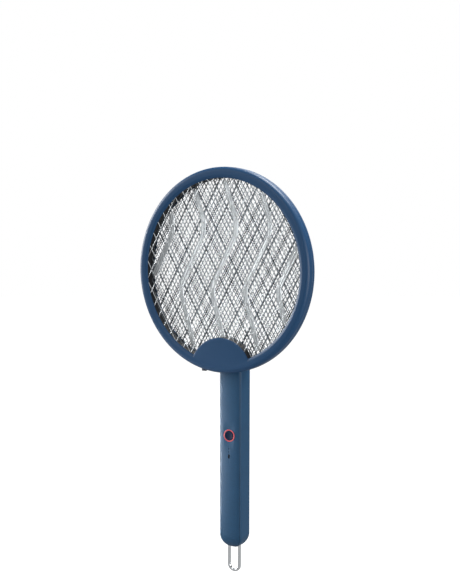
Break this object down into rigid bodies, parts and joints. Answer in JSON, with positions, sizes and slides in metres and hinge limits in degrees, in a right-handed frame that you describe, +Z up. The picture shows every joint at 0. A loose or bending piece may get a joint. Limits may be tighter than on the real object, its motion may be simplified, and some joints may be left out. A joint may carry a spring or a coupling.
{
  "type": "electric fly swatter",
  "caption": "Folding electric fly swatter: oval net head with half-disc cover, straight handle with lit button, hanging loop.",
  "frame": {"origin": "middle of the hand grip, on the handle's centre line, 65 mm above its rounded end", "axes": "+Z up the handle to the head, nets and button face -Y, +X to the right seen from the front"},
  "size_m": [0.227, 0.0465, 0.4798],
  "materials": {
    "ring_plastic": "satin",
    "handle_plastic": "fine grain",
    "tab_plastic": "matt",
    "button_plastic": "satin",
    "light_red": "clear red",
    "smoked_lens": "gloss",
    "guard_metal": "satin",
    "live_metal": "satin",
    "black_insulator": "matt",
    "steel": "satin",
    "brass": "satin",
    "lead_red": "satin",
    "board_green": "gloss",
    "white_plastic": "gloss",
    "winding": "wound tape",
    "capacitor_red": "gloss",
    "cell_wrap": "shrink wrap",
    "loop_chrome": "polished"
  },
  "bodies": {
    "handle": {"handle_front": "handle_plastic", "handle_rear": "handle_plastic", "hinge_barrel": "handle_plastic", "hinge_bushes": "brass", "barrel_contacts": "brass", "handle_leads": "lead_red", "circuit_board": "board_green", "tact_switch": "black_insulator", "light_ring": "light_red", "indicator_lens": "smoked_lens", "status_leds": "white_plastic", "hv_transformer": "winding", "hv_capacitor": "capacitor_red", "hv_diodes": "black_insulator", "charge_port": "steel", "battery_cell": "cell_wrap", "battery_cradle": "black_insulator", "battery_contacts": "steel", "handle_screws": "steel", "loop_guide": "black_insulator"},
    "head": {"front_ring": "ring_plastic", "rear_ring": "ring_plastic", "front_net": "guard_metal", "live_net": "live_metal", "rear_net": "guard_metal", "front_spacer": "black_insulator", "rear_spacer": "black_insulator", "head_screws": "steel", "net_tabs": "brass", "head_leads": "lead_red", "ear_contacts": "brass", "hinge_pin": "steel", "hinge_caps": "ring_plastic", "release_spring": "steel"},
    "release": {"release_tab": "tab_plastic"},
    "button": {"button_cap": "button_plastic", "switch_plunger": "white_plastic"},
    "loop": {"hanging_loop": "loop_chrome", "loop_stops": "steel"}
  },
  "joints": [
    {"name": "head_fold", "type": "hinge", "parent": "handle", "child": "head", "pos_m": [0, 0, 0.16], "axis": [-1, 0, 0], "range_deg": [0, 180]},
    {"name": "release_push", "type": "slide", "parent": "head", "child": "release", "axis": [0, 0, 1], "range_m": [0, 0.002], "stiffness_N_per_m": 600, "springref_m": -0.001, "deforming": ["release_spring"]},
    {"name": "button_press", "type": "slide", "parent": "handle", "child": "button", "axis": [0, 1, 0], "range_m": [0, 0.0008], "stiffness_N_per_m": 800, "springref_m": -0.0005},
    {"name": "loop_slide", "type": "slide", "parent": "handle", "child": "loop", "axis": [0, 0, 1], "range_m": [0, 0.024]}
  ]
}
